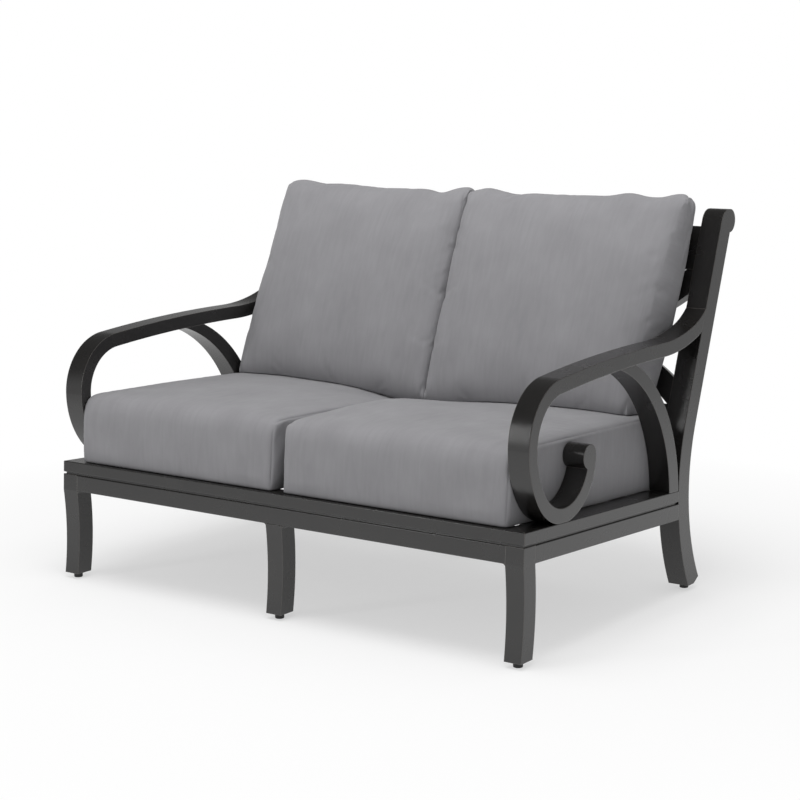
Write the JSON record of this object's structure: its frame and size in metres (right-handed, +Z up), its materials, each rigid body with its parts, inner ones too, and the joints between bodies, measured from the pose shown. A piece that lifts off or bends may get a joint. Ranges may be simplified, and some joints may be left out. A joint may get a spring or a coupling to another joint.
{
  "type": "patio loveseat",
  "caption": "Two-seat patio loveseat with a curved tube frame, scrolled arms, rolled back posts, loose box seat cushions and loose back cushions.",
  "frame": {"origin": "on the floor, at the middle of the overall width and depth", "axes": "+X to the sitter's left along the width, +Y from the front to the back, +Z up"},
  "size_m": [1.37, 1.0034, 0.9796],
  "materials": {
    "powder_coat": "dark charcoal powder coat, satin",
    "grey_fabric": "woven outdoor fabric with fine upright slubs",
    "foam": "open-cell foam",
    "glide_plastic": "moulded black plastic"
  },
  "bodies": {
    "frame": {"seat_rim_front": "powder_coat", "seat_rim_left": "powder_coat", "seat_rim_right": "powder_coat", "seat_rim_rear_left": "powder_coat", "seat_rim_rear_right": "powder_coat", "apron_front": "powder_coat", "apron_left": "powder_coat", "apron_right": "powder_coat", "apron_rear_left": "powder_coat", "apron_rear_right": "powder_coat", "seat_centre_rail": "powder_coat", "seat_slat_left_1": "powder_coat", "seat_slat_left_2": "powder_coat", "seat_slat_left_3": "powder_coat", "seat_slat_left_4": "powder_coat", "seat_slat_left_5": "powder_coat", "seat_slat_right_1": "powder_coat", "seat_slat_right_2": "powder_coat", "seat_slat_right_3": "powder_coat", "seat_slat_right_4": "powder_coat", "seat_slat_right_5": "powder_coat", "front_leg_left": "powder_coat", "front_leg_middle": "powder_coat", "front_leg_right": "powder_coat", "rear_post_left": "powder_coat", "rear_post_right": "powder_coat", "rear_leg_middle": "powder_coat", "arm_left": "powder_coat", "arm_right": "powder_coat", "arm_brace_left": "powder_coat", "arm_brace_right": "powder_coat", "back_top_rail": "powder_coat", "back_low_rail": "powder_coat", "back_stile": "powder_coat", "back_upper_bar_left": "powder_coat", "back_upper_bar_right": "powder_coat", "back_lower_bar_left": "powder_coat", "back_lower_bar_right": "powder_coat", "glide_front_left": "glide_plastic", "glide_front_middle": "glide_plastic", "glide_front_right": "glide_plastic", "glide_rear_left": "glide_plastic", "glide_rear_middle": "glide_plastic", "glide_rear_right": "glide_plastic"},
    "seat_cushion_left": {"seat_cushion_left_cover": "grey_fabric", "seat_cushion_left_core": "foam"},
    "seat_cushion_right": {"seat_cushion_right_cover": "grey_fabric", "seat_cushion_right_core": "foam"},
    "back_cushion_left": {"back_cushion_left_cover": "grey_fabric", "back_cushion_left_core": "foam"},
    "back_cushion_right": {"back_cushion_right_cover": "grey_fabric", "back_cushion_right_core": "foam"}
  },
  "joints": [
    {"name": "lift_seat_cushion_left", "type": "slide", "parent": "frame", "child": "seat_cushion_left", "axis": [0, 0, 1], "range_m": [0, 0.45]},
    {"name": "lift_seat_cushion_right", "type": "slide", "parent": "frame", "child": "seat_cushion_right", "axis": [0, 0, 1], "range_m": [0, 0.45]},
    {"name": "lift_back_cushion_left", "type": "slide", "parent": "seat_cushion_left", "child": "back_cushion_left", "axis": [0, 0.3363, 0.9418], "range_m": [0, 0.55]},
    {"name": "lift_back_cushion_right", "type": "slide", "parent": "seat_cushion_right", "child": "back_cushion_right", "axis": [0, 0.3363, 0.9418], "range_m": [0, 0.55]}
  ]
}
